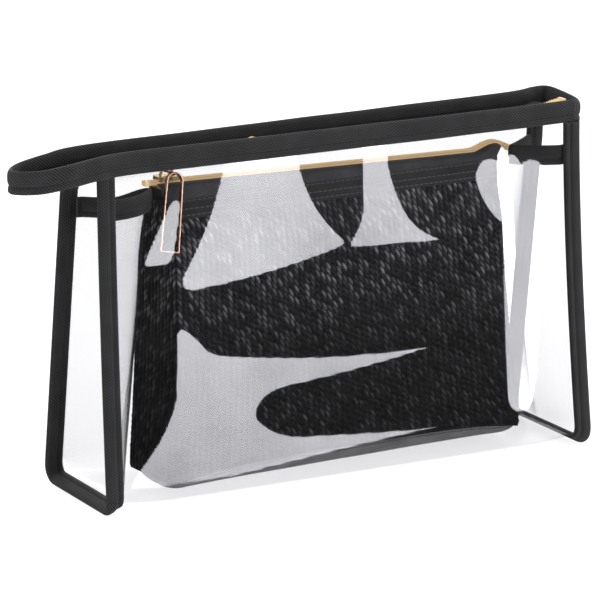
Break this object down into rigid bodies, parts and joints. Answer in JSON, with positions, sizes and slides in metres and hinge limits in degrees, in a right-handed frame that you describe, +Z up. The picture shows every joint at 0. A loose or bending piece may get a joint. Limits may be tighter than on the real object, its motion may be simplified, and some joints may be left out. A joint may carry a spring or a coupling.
{
  "type": "makeup bag",
  "caption": "Clear zipped makeup bag with black taped edges, holding a black woven zip pouch.",
  "frame": {"origin": "on the ground under the middle of the clear bag's floor, half way between its end seams", "axes": "+X along the bag's length towards the closed end of the rim, away from its tail loop; +Y from the front to the back; +Z up"},
  "size_m": [0.2883, 0.0695, 0.159],
  "materials": {
    "clear_vinyl": "clear, glossy, slightly wavy",
    "black_twill": "black polyester twill tape",
    "zip_tape": "black woven zip tape",
    "black_hem": "stitched black hem",
    "woven_straw": "black paper straw, basket weave, slight sheen",
    "base_cloth": "smooth black cloth",
    "lining_cloth": "thin black lining",
    "gold_zip": "pale gold, satin",
    "gold_slider": "rose gold, polished",
    "rose_gold": "rose gold, polished"
  },
  "bodies": {
    "clear_bag": {"clear_wrap": "clear_vinyl", "left_gusset": "clear_vinyl", "right_gusset": "clear_vinyl", "left_end_binding": "black_twill", "right_end_binding": "black_twill", "left_gusset_binding": "black_twill", "right_gusset_binding": "black_twill", "rim_binding": "black_twill", "outer_tape_front": "zip_tape", "outer_tape_back": "zip_tape", "outer_teeth_front": "gold_zip", "outer_teeth_back": "gold_zip", "outer_top_stops": "gold_zip", "outer_bottom_stop": "gold_zip"},
    "outer_slider": {"outer_slider_body": "gold_slider", "outer_slider_bail": "gold_slider"},
    "outer_puller": {"outer_puller": "rose_gold"},
    "pouch": {"pouch_front_panel": "woven_straw", "pouch_back_panel": "woven_straw", "pouch_left_side": "woven_straw", "pouch_right_side": "woven_straw", "pouch_base": "base_cloth", "pouch_lining": "lining_cloth", "pouch_front_hem": "black_hem", "pouch_back_hem": "black_hem", "pouch_tape_front": "zip_tape", "pouch_tape_back": "zip_tape", "pouch_teeth_front": "gold_zip", "pouch_teeth_back": "gold_zip", "pouch_top_stops": "gold_zip", "pouch_bottom_stop": "gold_zip"},
    "pouch_slider": {"pouch_slider_body": "gold_slider", "pouch_slider_bail": "gold_slider"},
    "pouch_puller": {"pouch_puller": "rose_gold"}
  },
  "joints": [
    {"name": "outer_slider_slide", "type": "slide", "parent": "clear_bag", "child": "outer_slider", "axis": [0.9994, 0.0339, 0], "range_m": [-0.09, 0.11]},
    {"name": "outer_puller_hinge", "type": "hinge", "parent": "outer_slider", "child": "outer_puller", "pos_m": [-0.04049, -0.00738, 0.1548], "axis": [0.0339, -0.9994, 0], "range_deg": [0, 150]},
    {"name": "pouch_lift", "type": "slide", "parent": "clear_bag", "child": "pouch", "axis": [0, 0, 1], "range_m": [0, 0.002]},
    {"name": "pouch_slider_slide", "type": "slide", "parent": "pouch", "child": "pouch_slider", "axis": [0.9988, 0.0419, -0.0244], "range_m": [0, 0.13]},
    {"name": "pouch_puller_swing", "type": "hinge", "parent": "pouch_slider", "child": "pouch_puller", "pos_m": [-0.0801, -0.00355, 0.14481], "axis": [0.0419, -0.9991, 0], "range_deg": [-6, 80]}
  ]
}
